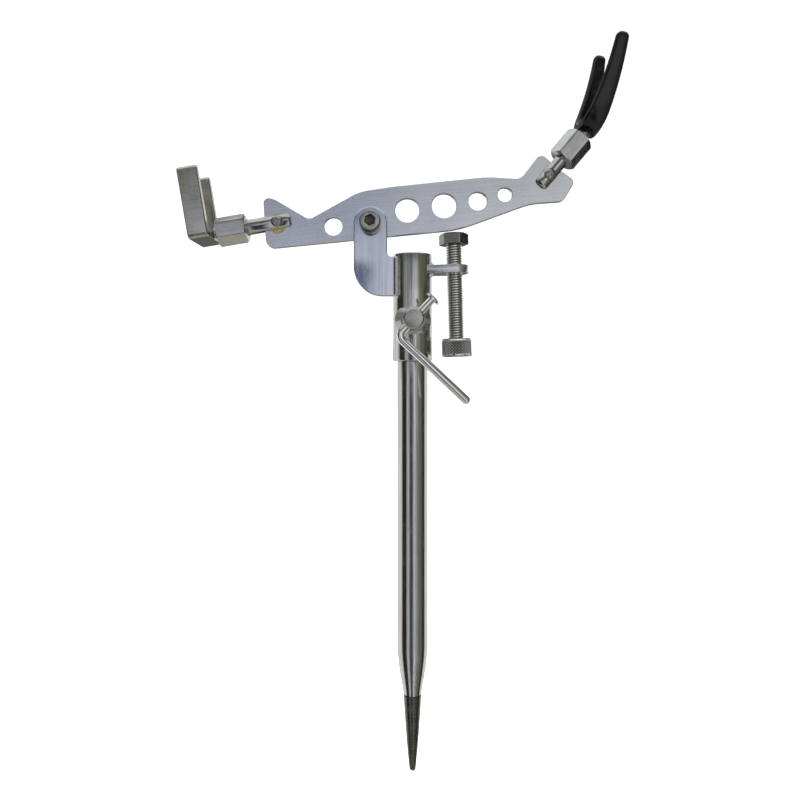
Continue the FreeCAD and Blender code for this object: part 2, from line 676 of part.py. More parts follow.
def build():
    fill_sheet()
    spike_tube()
    spike_tip()
    clamp_sleeve()
    pivot_ear()
    screw_lug()
    clamp_boss()
    doc.recompute()
    weld_beads([nodes[name].Shape for name in ("pivot_ear", "screw_lug", "clamp_boss")])
    pivot_screw()
    pivot_washers()
    pivot_spacer()
    pivot_lock_nut()
    swing_plate()
    adjusting_bolt()
    knurled_knob()
    clamp_screw()
    clamp_bar()
    for end in ("rear", "front"):
        arm_shaft(end)
        arm_screw(end)
        arm_nut(end)
        arm_discs(end)
        arm_coupling(end)
    arm_stud("rear", "hook_near")
    arm_stud("front", "fork_base + fork_strip - coat_thick")
    rear_hook()
    fork_parts()
    doc.recompute()


def check_and_write():
    for thing in doc.Objects:
        bad = [word for word in thing.State if word in ("Invalid", "Error")]
        if bad:
            raise SystemExit(f"{thing.Label}: {bad}")
    os.makedirs("parts", exist_ok=True)
    for label, thing in nodes.items():
        if thing.Shape.isNull() or not thing.Shape.isValid():
            raise SystemExit(f"{label}: no valid shape")
        print(f"{label:18} {len(thing.Shape.Solids)} solid(s) {thing.Shape.Volume:10.1f} mm3")
    for label, thing in nodes.items():
        thing.Shape.exportStep(os.path.join("parts", label + ".step"))


build()
check_and_write()
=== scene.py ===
import json
import math

import bmesh
import bpy
from mathutils import Matrix, Vector


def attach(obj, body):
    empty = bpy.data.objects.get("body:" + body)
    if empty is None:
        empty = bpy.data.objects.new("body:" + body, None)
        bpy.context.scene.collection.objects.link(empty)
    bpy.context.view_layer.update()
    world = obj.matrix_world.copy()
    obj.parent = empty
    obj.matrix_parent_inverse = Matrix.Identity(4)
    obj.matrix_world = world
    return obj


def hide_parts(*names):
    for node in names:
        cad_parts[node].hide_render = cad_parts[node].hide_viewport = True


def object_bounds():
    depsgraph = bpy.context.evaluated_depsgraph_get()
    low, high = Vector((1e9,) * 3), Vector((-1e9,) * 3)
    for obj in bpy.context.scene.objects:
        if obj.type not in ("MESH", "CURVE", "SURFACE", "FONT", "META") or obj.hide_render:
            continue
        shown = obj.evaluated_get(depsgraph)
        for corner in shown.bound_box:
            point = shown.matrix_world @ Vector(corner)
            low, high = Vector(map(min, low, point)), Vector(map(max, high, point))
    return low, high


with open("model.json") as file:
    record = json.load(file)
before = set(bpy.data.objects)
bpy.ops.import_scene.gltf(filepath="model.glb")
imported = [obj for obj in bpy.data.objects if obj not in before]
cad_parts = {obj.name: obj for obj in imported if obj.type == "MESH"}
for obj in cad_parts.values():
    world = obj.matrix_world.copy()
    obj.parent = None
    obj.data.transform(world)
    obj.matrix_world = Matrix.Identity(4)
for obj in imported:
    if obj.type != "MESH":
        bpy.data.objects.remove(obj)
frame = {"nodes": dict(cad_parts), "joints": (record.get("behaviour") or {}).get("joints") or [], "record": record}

# Studio view of the bank-side rod holder: a ground spike, a clamped head with a
# screw-set tilting plate, a satin rear hook and a black dipped fork.

CAD_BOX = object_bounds()
MM = 0.001
FULL_TURN = 2 * math.pi
JOINTS = {joint["name"]: joint for joint in frame["joints"]}
RECORD = frame["record"]
BODY_OF = {node: body for body, members in RECORD["behaviour"]["bodies"].items()
           for node in members}

# Sizes in millimetres that the CAD nodes do not carry themselves.
TUBE_WALL, TIP_JOINT_RADIUS, NECK_STEP = 1.3, 4.5, 0.2
SLEEVE_BORE, KNOB_BORE, COUPLING_BORE = 7.38, 4.05, 3.05
BOLT_RADIUS, STUD_RADIUS, PIN_RADIUS = 4.0, 3.0, 2.0
BOLT_PITCH, STUD_PITCH, PIN_PITCH = 1.25, 1.0, 0.7
BOLT_HEAD_HIGH = 5.5
BOLT_HEAD_TURN = -12                   # degrees, where the head's corner stands
HEX_FLATS = 13
THREAD_DEPTH = 0.52                    # as a share of the pitch
KNURL_DEPTH = 0.5
FORK_FOOT, FORK_STRIP = 10.0, 4.2       # inner round and thickness of the fork
FORK_BASE_WIDE, FORK_TIP_WIDE = 10.4, 6.2
STRIP_EDGE = 1.5                       # rounding of the dipped fork's edges
FORK_TWIST = 5.5                       # degrees round the fork's own stud


# ----------------------------------------------------------------------- places

def place_along(point, direction):
    """A place at point whose Z lies along direction and whose Y is the row's Y."""
    z = Vector(direction).normalized()
    y = Vector((0, 1, 0))
    x = y.cross(z).normalized()
    turn = Matrix((x, y, z)).transposed().to_4x4()
    return Matrix.Translation(Vector(point)) @ turn


def place_facing(point):
    """A place at point whose Z looks out of the holder's front, along -Y."""
    return Matrix.Translation(Vector(point)) @ Matrix.Rotation(math.pi / 2, 4, "X")


SPIKE = Matrix.Identity(4)
BOLT = place_along(JOINTS["knob_turn"]["pos_m"], JOINTS["knob_turn"]["axis"])
REAR = place_along(JOINTS["rear_pivot"]["pos_m"], JOINTS["hook_swivel"]["axis"])
FRONT = place_along(JOINTS["front_pivot"]["pos_m"], JOINTS["fork_swivel"]["axis"])
PIVOT = place_facing(JOINTS["plate_tilt"]["pos_m"])
CLAMP = place_facing(JOINTS["clamp_turn"]["pos_m"])
PLATE = place_along(JOINTS["plate_tilt"]["pos_m"], (-0.0976, 0, 0.9952))
BAR_WAY = -Vector(JOINTS["bar_slide"]["axis"])
ARMS = {"rear": REAR, "front": FRONT}


def span(node, place):
    """A CAD node's lowest and highest corner in a place of its own, in millimetres."""
    back = place.inverted()
    spots = [back @ vertex.co for vertex in frame["nodes"][node].data.vertices]
    low = Vector([min(spot[i] for spot in spots) for i in range(3)]) / MM
    high = Vector([max(spot[i] for spot in spots) for i in range(3)]) / MM
    return low, high


# ------------------------------------------------------------------ shader maths

class Value:
    """A shader socket that can be used in sums."""

    def __init__(self, shader, socket):
        self.shader, self.socket = shader, socket

    def maths(self, operation, first, second):
        return self.shader.node("ShaderNodeMath", {"operation": operation},
                                {0: first, 1: second})

    def __add__(self, other):
        return self.maths("ADD", self, other)

    def __radd__(self, other):
        return self.maths("ADD", other, self)

    def __sub__(self, other):
        return self.maths("SUBTRACT", self, other)

    def __rsub__(self, other):
        return self.maths("SUBTRACT", other, self)

    def __mul__(self, other):
        return self.maths("MULTIPLY", self, other)

    def __rmul__(self, other):
        return self.maths("MULTIPLY", other, self)

    def __truediv__(self, other):
        return self.maths("DIVIDE", self, other)

    def __pow__(self, other):
        return self.maths("POWER", self, other)


class Nodes:
    """A node tree that finishes and the studio's air are written in."""

    def __init__(self, tree):
        self.tree = tree

    def node(self, kind, settings, values, output=0):
        made = self.tree.nodes.new(kind)
        for key, setting in settings.items():
            if key == "stops":
                ramp = made.color_ramp
                while len(ramp.elements) < len(setting):
                    ramp.elements.new(0.5)
                for element, (position, colour) in zip(ramp.elements, setting):
                    element.position, element.color = position, (*colour, 1)
            else:
                setattr(made, key, setting)
        for key, value in values.items():
            if isinstance(value, Value):
                self.tree.links.new(value.socket, made.inputs[key])
            else:
                made.inputs[key].default_value = value
        return Value(self, made.outputs[output])

    def axes(self, spot):
        return [self.node("ShaderNodeSeparateXYZ", {}, {0: spot}, i) for i in range(3)]

    def between(self, value, low, high, to_low=0.0, to_high=1.0):
        return self.node("ShaderNodeMapRange", {"interpolation_type": "SMOOTHSTEP"}, {
            "Value": value, "From Min": low, "From Max": high,
            "To Min": to_low, "To Max": to_high})

    def blend(self, factor, first, second):
        """Mixes two colours, each a plain triple or a Value."""
        ends = [end if isinstance(end, Value) else (*end, 1) for end in (first, second)]
        return self.node("ShaderNodeMix", {"data_type": "RGBA"}, {
            "Factor": factor, 6: ends[0], 7: ends[1]}, 2)

    def ramp(self, factor, stops):
        return self.node("ShaderNodeValToRGB", {"stops": stops}, {"Fac": factor})


class Shader(Nodes):
    """A metal or plastic finish, built node by node on its own material."""

    def __init__(self, name, metallic=1.0, **settings):
        self.material = bpy.data.materials.new(name)
        self.material.use_nodes = True
        super().__init__(self.material.node_tree)
        self.surface = self.tree.nodes["Principled BSDF"]
        self.surface.inputs["Metallic"].default_value = metallic
        for socket, number in settings.items():
            self.surface.inputs[socket.replace("_", " ")].default_value = number

    def feed(self, socket, value):
        self.tree.links.new(value.socket, self.surface.inputs[socket])

    def local(self, place, stretch=(1, 1, 1)):
        """Object coordinates in millimetres, in a piece's own place."""
        back = place.inverted()
        spot = self.node("ShaderNodeTexCoord", {}, {}, "Object")
        spot = self.node("ShaderNodeMapping", {"vector_type": "POINT"}, {
            "Vector": spot, "Location": back.translation / MM,
            "Rotation": back.to_euler(), "Scale": (1 / MM,) * 3})
        return self.node("ShaderNodeVectorMath", {"operation": "MULTIPLY"},
                         {0: spot, 1: Vector(stretch)})

    def reach(self, spot):
        """How far a spot lies from its place's Z axis."""
        x, y, z = self.axes(spot)
        return (x * x + y * y) ** 0.5

    def noise(self, spot, scale, detail=3.0, roughness=0.55):
        return self.node("ShaderNodeTexNoise", {"noise_dimensions": "3D"}, {
            "Vector": spot, "Scale": scale, "Detail": detail, "Roughness": roughness})

    def bump(self, height, distance):
        normal = self.node("ShaderNodeBump", {}, {
            "Height": height, "Distance": distance * MM, "Strength": 1.0})
        self.feed("Normal", normal)


# --------------------------------------------------------------------- finishes

def polished_steel(name, place, dark=(0.50, 0.495, 0.46), light=(0.72, 0.715, 0.69),
                   rough=0.10):
    """Mirror-polished stainless with faint drawn lines along the piece's Z."""
    s = Shader(name)
    spot = s.local(place)
    drawn = s.noise(s.local(place, (1, 1, 0.012)), 3.2, 4)
    hairs = s.noise(s.local(place, (1, 1, 0.006)), 9.0, 2)
    cloud = s.noise(spot, 0.11, 4)
    smear = s.between(cloud, 0.42, 0.68)
    s.feed("Base Color", s.blend(s.between(drawn, 0.30, 0.70), dark, light))
    s.feed("Roughness", rough + smear * 0.09 + s.between(hairs, 0.55, 0.75) * 0.10)
    s.bump(drawn * 0.7 + hairs * 0.3, 0.012)
    return s.material


def ground_point(name, place):
    """A darker solid point with turning rings and marks from the ground."""
    s = Shader(name)
    spot = s.local(place)
    rings = s.noise(s.local(place, (0.03, 0.03, 1)), 5.0, 3)
    scuff = s.between(s.noise(s.local(place, (1, 1, 0.08)), 1.4, 5), 0.52, 0.66)
    worn = s.between(s.axes(spot)[2], -62, -44, 1.0, 0.0)
    tone = s.between(rings, 0.3, 0.7) * 0.6 + scuff * 0.4
    s.feed("Base Color", s.blend(tone, (0.10, 0.098, 0.088), (0.27, 0.265, 0.24)))
    s.feed("Roughness", 0.26 + scuff * 0.16 + worn * 0.12)
    s.bump(rings + scuff * 0.4, 0.02)
    return s.material


def brushed_sheet(name, place, along, dark, light, rough=0.30, grain=0.016):
    """Sheet steel with a fine brushed grain along one of the piece's axes."""
    s = Shader(name)
    stretch = [1.0, 1.0, 1.0]
    stretch[along] = 0.02
    spot = s.local(place)
    lines = s.noise(s.local(place, stretch), 7.0, 4, 0.7)
    broad = s.noise(s.local(place, stretch), 1.1, 3)
    cloud = s.noise(spot, 0.045, 4)
    nicks = s.noise(s.local(place, (0.9, 1, 0.07)), 2.6, 2)
    scratch = s.between(nicks, 0.70, 0.74)
    tone = s.between(lines, 0.25, 0.75) * 0.45 + s.between(broad, 0.3, 0.7) * 0.3 + cloud * 0.25
    s.feed("Base Color", s.blend(tone, dark, light))
    s.feed("Roughness", rough + s.between(lines, 0.3, 0.7) * 0.09
           + s.between(cloud, 0.4, 0.65) * 0.07 + scratch * 0.08)
    s.bump(lines + scratch * 0.6, grain)
    return s.material


def turned_steel(name, place, dark=(0.36, 0.35, 0.33), light=(0.62, 0.61, 0.58), rough=0.22,
                 ring=1.4):
    """Lathe-turned steel: rings on faces across the axis and round its sides."""
    s = Shader(name)
    spot = s.local(place)
    along = s.axes(spot)[2]
    rings = s.node("ShaderNodeTexNoise", {"noise_dimensions": "1D"}, {
        "W": s.reach(spot) * ring + along * (ring * 1.3), "Scale": 2.2, "Detail": 4.0,
        "Roughness": 0.6})
    grime = s.between(s.noise(spot, 0.55, 4), 0.50, 0.70)
    s.feed("Base Color", s.blend(s.between(rings, 0.3, 0.7) * 0.7 + grime * 0.15, dark, light))
    s.feed("Roughness", rough + s.between(rings, 0.35, 0.65) * 0.10 + grime * 0.12)
    s.bump(rings, 0.022)
    return s.material


def satin_steel(name, place, dark, light, rough=0.30):
    """Blasted and lightly polished steel with small pits and soft rubbed patches."""
    s = Shader(name)
    spot = s.local(place)
    fine = s.noise(spot, 5.5, 4, 0.65)
    patch = s.noise(spot, 0.16, 4)
    rubbed = s.noise(s.local(place, (1, 1, 0.05)), 2.4, 3)
    pits = s.between(s.noise(spot, 2.2, 1), 0.70, 0.76)
    tone = s.between(patch, 0.3, 0.7) * 0.55 + s.between(rubbed, 0.3, 0.7) * 0.45
    s.feed("Base Color", s.blend(tone, dark, light))
    s.feed("Roughness", rough + s.between(patch, 0.35, 0.7) * 0.10 + fine * 0.05 + pits * 0.1)
    s.bump(fine * 0.5 + rubbed * 0.5 - pits * 0.8, 0.014)
    return s.material


def threaded_steel(name, place, radius, pitch):
    """Rolled thread: bright crests and dull flanks, coloured darker towards the roots as painted shade."""
    s = Shader(name)
    spot = s.local(place)
    root = radius - THREAD_DEPTH * pitch
    crest = s.between(s.reach(spot), root + 0.1, radius - 0.05)
    specks = s.noise(spot, 2.8, 4)
    # Painted shade: the flanks are coloured darker towards the thread's roots.
    s.feed("Base Color", s.blend(crest * 0.75 + specks * 0.25, (0.32, 0.305, 0.28),
                                 (0.96, 0.95, 0.93)))
    s.feed("Roughness", 0.34 - crest * 0.19 + s.between(specks, 0.4, 0.7) * 0.12)
    s.bump(specks, 0.02)
    return s.material


def knurled_steel(name, place, radius):
    """Cut diamonds: bright points and dark valleys, the dark being painted shade."""
    s = Shader(name)
    spot = s.local(place)
    reach = s.reach(spot)
    point = s.between(reach, radius - KNURL_DEPTH * 0.80, radius - KNURL_DEPTH * 0.15)
    end_face = s.between(reach, radius - 0.6, radius - 0.9)
    specks = s.noise(spot, 2.2, 4)
    # Painted shade: colour runs from bright at the points and end faces to dark in the valleys.
    lift = point.maths("MAXIMUM", point, end_face) * 0.8 + specks * 0.2
    s.feed("Base Color", s.blend(lift, (0.12, 0.115, 0.10), (0.97, 0.965, 0.95)))
    s.feed("Roughness", 0.40 - lift * 0.18 + s.between(specks, 0.4, 0.7) * 0.08)
    s.bump(specks, 0.015)
    return s.material


def weld_metal(name):
    """A small weld bead with fine ripples and a straw and blue heat tint."""
    s = Shader(name)
    spot = s.local(SPIKE)
    tint = s.noise(spot, 0.35, 3)
    ripple = s.noise(s.local(SPIKE, (0.3, 0.3, 1.6)), 1.6, 3)
    s.feed("Base Color", s.ramp(tint, [
        (0.36, (0.52, 0.515, 0.50)), (0.48, (0.66, 0.655, 0.64)), (0.57, (0.62, 0.59, 0.54)),
        (0.66, (0.56, 0.56, 0.57))]))
    s.feed("Roughness", 0.22 + s.between(ripple, 0.35, 0.65) * 0.14)
    s.bump(ripple, 0.035)
    return s.material


def brass_disc(name, place):
    s = Shader(name)
    spot = s.local(place)
    tarnish = s.between(s.noise(spot, 0.5, 4), 0.42, 0.66)
    lines = s.noise(s.local(place, (0.05, 1, 1)), 6.0, 3)
    s.feed("Base Color", s.blend(tarnish, (0.74, 0.56, 0.27), (0.46, 0.33, 0.16)))
    s.feed("Roughness", 0.24 + tarnish * 0.16 + lines * 0.06)
    s.bump(lines, 0.012)
    return s.material


def lock_nylon(name):
    s = Shader(name, metallic=0.0, Subsurface_Weight=0.1)
    cloud = s.noise(s.local(SPIKE), 0.8, 4)
    s.feed("Base Color", s.blend(cloud, (0.66, 0.68, 0.72), (0.84, 0.85, 0.87)))
    s.feed("Roughness", 0.42 + cloud * 0.12)
    s.bump(cloud, 0.03)
    return s.material


def dipped_black(name, place):
    """Thick black dip: glossy, slightly uneven, with fine dust and rubbed edges."""
    s = Shader(name, metallic=0.0, Coat_Roughness=0.08, Specular_IOR_Level=0.3)
    spot = s.local(place)
    sag = s.noise(s.local(place, (1, 1, 0.45)), 0.16, 3)
    orange = s.noise(spot, 1.1, 2)
    dust = s.between(s.noise(spot, 6.0, 2), 0.68, 0.74)
    rub = s.between(s.noise(s.local(place, (1, 1, 0.2)), 0.5, 4), 0.50, 0.70)
    s.feed("Base Color", s.blend(dust * 0.5 + rub * 0.3, (0.002, 0.002, 0.0025),
                                 (0.014, 0.014, 0.013)))
    s.feed("Roughness", 0.17 + rub * 0.12 + dust * 0.16)
    s.feed("Coat Weight", 0.2 - rub * 0.12)
    s.bump(sag * 1.6 + orange * 0.15, 0.12)
    return s.material


# ---------------------------------------------------------------- building tools

def add_piece(name, bm, finish, node, place=SPIKE, others=(), sharp=32):
    """Makes a mesh piece that stands for one CAD node, and for any others named."""
    bmesh.ops.remove_doubles(bm, verts=bm.verts, dist=0.002)
    bmesh.ops.recalc_face_normals(bm, faces=bm.faces)
    bmesh.ops.transform(bm, matrix=place @ Matrix.Scale(MM, 4), verts=bm.verts)
    limit = math.radians(sharp)
    for face in bm.faces:
        face.smooth = True
    for edge in bm.edges:
        edge.smooth = edge.calc_face_angle(0) < limit
    mesh = bpy.data.meshes.new(name)
    bm.to_mesh(mesh)
    bm.free()
    mesh.materials.append(finish)
    piece = bpy.data.objects.new(name, mesh)
    bpy.context.scene.collection.objects.link(piece)
    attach(piece, BODY_OF[node])
    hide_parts(node, *others)
    return piece


def merged_copy(node, finish, soft=0.0, sharp=32):
    """A CAD node's own shape with its triangles joined and its corners eased."""
    bm = bmesh.new()
    bm.from_mesh(frame["nodes"][node].data)
    bmesh.ops.transform(bm, matrix=Matrix.Scale(1 / MM, 4), verts=bm.verts)
    bmesh.ops.remove_doubles(bm, verts=bm.verts, dist=0.002)
    bmesh.ops.dissolve_limit(bm, angle_limit=math.radians(0.4), verts=bm.verts,
                             edges=bm.edges, use_dissolve_boundaries=False)
    if soft:
        limit = math.radians(sharp)
        keen = [edge for edge in bm.edges if edge.calc_face_angle(0) > limit]
        bmesh.ops.bevel(bm, geom=keen, offset=soft, offset_type="OFFSET", segments=2,
                        profile=0.5, affect="EDGES", clamp_overlap=True, material=-1)
    return add_piece(node + "_body", bm, finish, node, sharp=sharp)


def lathe(outline, steps=72, closed=False, soft=0.0):
    """Spins an outline of (radius, height) round Z; soft rounds its corners."""
    bm = bmesh.new()
    verts = [bm.verts.new((radius, 0, height)) for radius, height in outline]
    pairs = list(zip(verts, verts[1:] + verts[:1] if closed else verts[1:]))
    for pair in pairs:
        bm.edges.new(pair)
    if soft:
        inner = verts if closed else verts[1:-1]
        bmesh.ops.bevel(bm, geom=inner, offset=soft, offset_type="OFFSET", segments=3,
                        profile=0.5, affect="VERTICES", clamp_overlap=True, material=-1)
    bmesh.ops.spin(bm, geom=bm.verts[:] + bm.edges[:], cent=(0, 0, 0), axis=(0, 0, 1),
                   angle=FULL_TURN, steps=steps, use_merge=True)
    bmesh.ops.remove_doubles(bm, verts=bm.verts, dist=0.001)
    return bm


def thread(radius, pitch, low, high, steps=28, bevel=0.8, both=False):
    """A helical thread round Z from low to high, pointed at its free ends."""
    root = radius - THREAD_DEPTH * pitch
    bm = bmesh.new()
    tooth = [(root, 0), (root, 0.08), (radius, 0.35), (radius, 0.65), (root, 0.92), (root, 1.0)]
    verts = [bm.verts.new((r, 0, low + (rise - 1) * pitch)) for r, rise in tooth]
    edges = [bm.edges.new(pair) for pair in zip(verts, verts[1:])]
    turns = math.ceil((high - low) / pitch) + 1
    bmesh.ops.spin(bm, geom=verts + edges, cent=(0, 0, 0), axis=(0, 0, 1),
                   dvec=(0, 0, pitch / steps), angle=FULL_TURN * turns, steps=steps * turns)
    bmesh.ops.remove_doubles(bm, verts=bm.verts, dist=0.002)
    for level, side in ((low, -1), (high, 1)):
        bmesh.ops.bisect_plane(bm, geom=bm.verts[:] + bm.edges[:] + bm.faces[:],
                               plane_co=(0, 0, level), plane_no=(0, 0, side), clear_outer=True)
    rims = [edge for edge in bm.edges if edge.is_boundary]
    bmesh.ops.holes_fill(bm, edges=rims, sides=0)
    for vert in bm.verts:
        room = vert.co.z - low
        if both:
            room = min(room, high - vert.co.z)
        reach = math.hypot(vert.co.x, vert.co.y)
        allowed = radius - bevel + max(room, 0)
        if reach > allowed:
            vert.co.x *= allowed / reach
            vert.co.y *= allowed / reach
    return bm


def hexagon_bar(flats, low, high, corner_at=0.0, bore=0.0, low_bevel=True):
    """A hexagon bar along Z with turned end bevels, bored or solid."""
    land, corner = flats * 0.46, flats / math.sqrt(3)
    outline = [(bore, low), (land, low), (corner, low),
               (corner, high), (land, high), (bore, high)]
    bm = lathe(outline, 72, closed=bore > 0)
    sixth = FULL_TURN / 6
    for vert in bm.verts:
        reach = math.hypot(vert.co.x, vert.co.y)
        if reach < land + 0.01:
            continue
        turn = math.atan2(vert.co.y, vert.co.x) - math.radians(corner_at)
        side = flats / 2 / math.cos(turn % sixth - sixth / 2)
        side = min(side, corner * 0.985)
        drop = (side - land) * 0.577
        vert.co.x *= side / reach
        vert.co.y *= side / reach
        if vert.co.z > (low + high) / 2:
            vert.co.z -= drop
        elif low_bevel:
            vert.co.z += drop
    return bm


def rounded_ring(bm, place, half_wide, half_thick, edge, segments=24):
    """A ring of edges shaped as a rounded rectangle in a place's XY plane."""
    made = bmesh.ops.create_circle(bm, segments=segments, radius=1.0, cap_ends=False)
    for vert in made["verts"]:
        turn = math.atan2(vert.co.y, vert.co.x) + math.pi / segments
        across, through = math.cos(turn), math.sin(turn)
        vert.co = place @ Vector((
            math.copysign(half_wide - edge, across) + edge * across,
            math.copysign(half_thick - edge, through) + edge * through, 0))
    return list({edge for vert in made["verts"] for edge in vert.link_edges})


def swept(bm, loops):
    """Joins a run of edge rings and caps both ends."""
    for near, far in zip(loops, loops[1:]):
        bmesh.ops.bridge_loops(bm, edges=near + far)
    for end in (loops[0], loops[-1]):
        bmesh.ops.holes_fill(bm, edges=end, sides=0)
    return bm


# ------------------------------------------------------------------ ground spike

def spike():
    low, high = span("spike_tube", SPIKE)
    radius = high.x
    joint, top = low.z, high.z
    neck = span("clamp_sleeve", SPIKE)[0].z - 0.1
    neck_radius = radius - NECK_STEP
    bore = radius - TUBE_WALL
    outline = [(TIP_JOINT_RADIUS - 0.4, joint), (TIP_JOINT_RADIUS, joint + 0.4)]
    for step in range(1, 15):
        share = step / 14
        swell = math.sin(share * math.pi / 2) ** 1.12
        outline.append((TIP_JOINT_RADIUS + (radius - TIP_JOINT_RADIUS) * swell,
                        joint + 0.4 + share * (0.6 - joint)))
    outline += [(radius, neck - 0.3), (neck_radius, neck), (neck_radius, top - 0.4),
                (neck_radius - 0.4, top), (bore, top), (bore, -3)]
    add_piece("spike_tube_body", lathe(outline, 96), polished_steel("polished_tube", SPIKE),
              "spike_tube")
    point = [(0, -62), (1.0, -62), (1.35, -61.7), (1.62, -60.8), (2.1, -56.5), (2.72, -50),
             (3.28, -43), (3.75, -36), (4.15, -30), (4.42, -24.6), (4.1, -24.1),
             (3.1, -24.1), (3.1, -12.2), (0, -12.2)]
    add_piece("spike_point", lathe(point, 72), ground_point("dark_point", SPIKE), "spike_tip")


def sleeve():
    low, high = span("clamp_sleeve", SPIKE)
    radius = high.x
    outline = [(SLEEVE_BORE, low.z), (radius, low.z), (radius, high.z), (SLEEVE_BORE, high.z)]
    add_piece("clamp_sleeve_body", lathe(outline, 96, closed=True, soft=0.7),
              polished_steel("polished_sleeve", SPIKE, (0.46, 0.455, 0.42), (0.70, 0.695, 0.66)),
              "clamp_sleeve")


# ------------------------------------------------------------------- pivoted head

def head():
    """The welded ear, lug and boss, and the cap screw that the plate hangs on."""
    merged_copy("pivot_ear", brushed_sheet("polished_ear", PIVOT, 1, (0.46, 0.49, 0.53),
                                           (0.78, 0.80, 0.82), rough=0.05, grain=0.003))
    merged_copy("screw_lug", satin_steel("satin_lug", BOLT, (0.64, 0.65, 0.66),
                                         (0.88, 0.89, 0.90), 0.22), 0.25)
    merged_copy("clamp_boss", satin_steel("satin_boss", CLAMP, (0.40, 0.39, 0.36),
                                          (0.62, 0.60, 0.57)), 0.2)
    merged_copy("weld_beads", weld_metal("weld_metal"))
    for node in ("pivot_screw", "pivot_washers", "pivot_lock_nut"):
        merged_copy(node, turned_steel("turned_" + node, PIVOT), 0.12)
    # Painted shade: a near-black copy of the turned steel goes on the socket's walls and floor and on the head's
    # side wall.
    screw = bpy.data.objects["pivot_screw_body"].data
    screw.materials.append(turned_steel("socket_shade", PIVOT, (0.06, 0.055, 0.045),
                                        (0.22, 0.21, 0.19), 0.3))
    face = span("pivot_screw", PIVOT)[1].z
    for polygon in screw.polygons:
        centre = PIVOT.inverted() @ polygon.center / MM
        reach, below = math.hypot(centre.x, centre.y), face - centre.z
        if 0.2 < below < 5 and (reach < 2.95 or reach > 4.7):
            polygon.material_index = 1
    for node in ("pivot_spacer", "nut_insert"):
        merged_copy(node, lock_nylon("nylon_" + node))
    low = span("pivot_screw", PIVOT)[0]
    nut_end = span("pivot_lock_nut", PIVOT)[0].z
    add_piece("pivot_screw_thread",
              thread(STUD_RADIUS + 0.04, STUD_PITCH, low.z, nut_end + 0.5),
              threaded_steel("pivot_thread", PIVOT, STUD_RADIUS, STUD_PITCH),
              "pivot_screw", PIVOT)


def plate():
    finish = brushed_sheet("brushed_plate", PLATE, 0, (0.60, 0.62, 0.65), (0.78, 0.80, 0.83),
                           rough=0.17)
    merged_copy("swing_plate", finish)


# ------------------------------------------------------------------ tilt adjuster

def bolt():
    """A fully threaded hexagon bolt whose head carries the plate."""
    low, high = span("adjusting_bolt", BOLT)
    under_head = high.z - BOLT_HEAD_HIGH
    add_piece("adjusting_bolt_thread",
              thread(BOLT_RADIUS, BOLT_PITCH, low.z, under_head + 0.1),
              threaded_steel("rolled_thread", BOLT, BOLT_RADIUS, BOLT_PITCH),
              "adjusting_bolt", BOLT)
    crowned = hexagon_bar(HEX_FLATS, under_head, high.z, corner_at=BOLT_HEAD_TURN,
                          low_bevel=False)
    add_piece("adjusting_bolt_head", crowned,
              turned_steel("bolt_head_steel", BOLT, (0.20, 0.19, 0.165),
                           (0.40, 0.385, 0.35), 0.2),
              "adjusting_bolt", BOLT)


def knob():
    """The round adjusting nut, with a diamond knurl and tool notches under it."""
    low, high = span("knurled_knob", BOLT)
    radius, bore, rows, columns = high.x, KNOB_BORE, 10, 60
    rim = 0.85
    knurl_high = high.z - low.z - 2 * rim
    side = [(radius, low.z + rim + knurl_high * row / rows) for row in range(rows + 1)]
    outline = [(bore, low.z), (5.6, low.z), (5.9, low.z + 0.25), (radius - 0.75, low.z + 0.12),
               (radius - 0.3, low.z + 0.3), *side, (radius - 0.3, high.z - 0.3),
               (radius - 0.8, high.z), (5.4, high.z), (5.1, high.z - 0.3), (bore, high.z - 0.3)]
    bm = lathe(outline, columns, closed=True)
    step = FULL_TURN / columns
    for vert in bm.verts:
        reach = math.hypot(vert.co.x, vert.co.y)
        turn = math.atan2(vert.co.y, vert.co.x)
        column = round(turn / step)
        row = round((vert.co.z - low.z - rim) / knurl_high * rows)
        knurled = reach > radius - 0.01 and 0 < row < rows
        on_rim = vert.co.z < low.z + rim and reach > 6
        notched = on_rim and (turn + 1.95) % (FULL_TURN / 9) < 0.16
        inward = KNURL_DEPTH if knurled and (column + row) % 2 else 0.0
        inward = 0.9 if notched else inward
        vert.co.x *= 1 - inward / reach
        vert.co.y *= 1 - inward / reach
    bmesh.ops.triangulate(bm, faces=bm.faces, quad_method="SHORT_EDGE")
    add_piece("knurled_knob_body", bm, knurled_steel("knurled_steel", BOLT, radius),
              "knurled_knob", BOLT, sharp=12)


# -------------------------------------------------------------------- height clamp

def clamp():
    merged_copy("clamp_screw", turned_steel("clamp_screw_steel", CLAMP, (0.33, 0.33, 0.285),
                                            (0.70, 0.69, 0.63), 0.22, ring=0.6), 0.2)
    merged_copy("clamp_bar", polished_steel("polished_bar", place_along((0, 0, 0), BAR_WAY),
                                            (0.82, 0.81, 0.79), (0.95, 0.945, 0.93)))


# --------------------------------------------------------------------- hinged arms

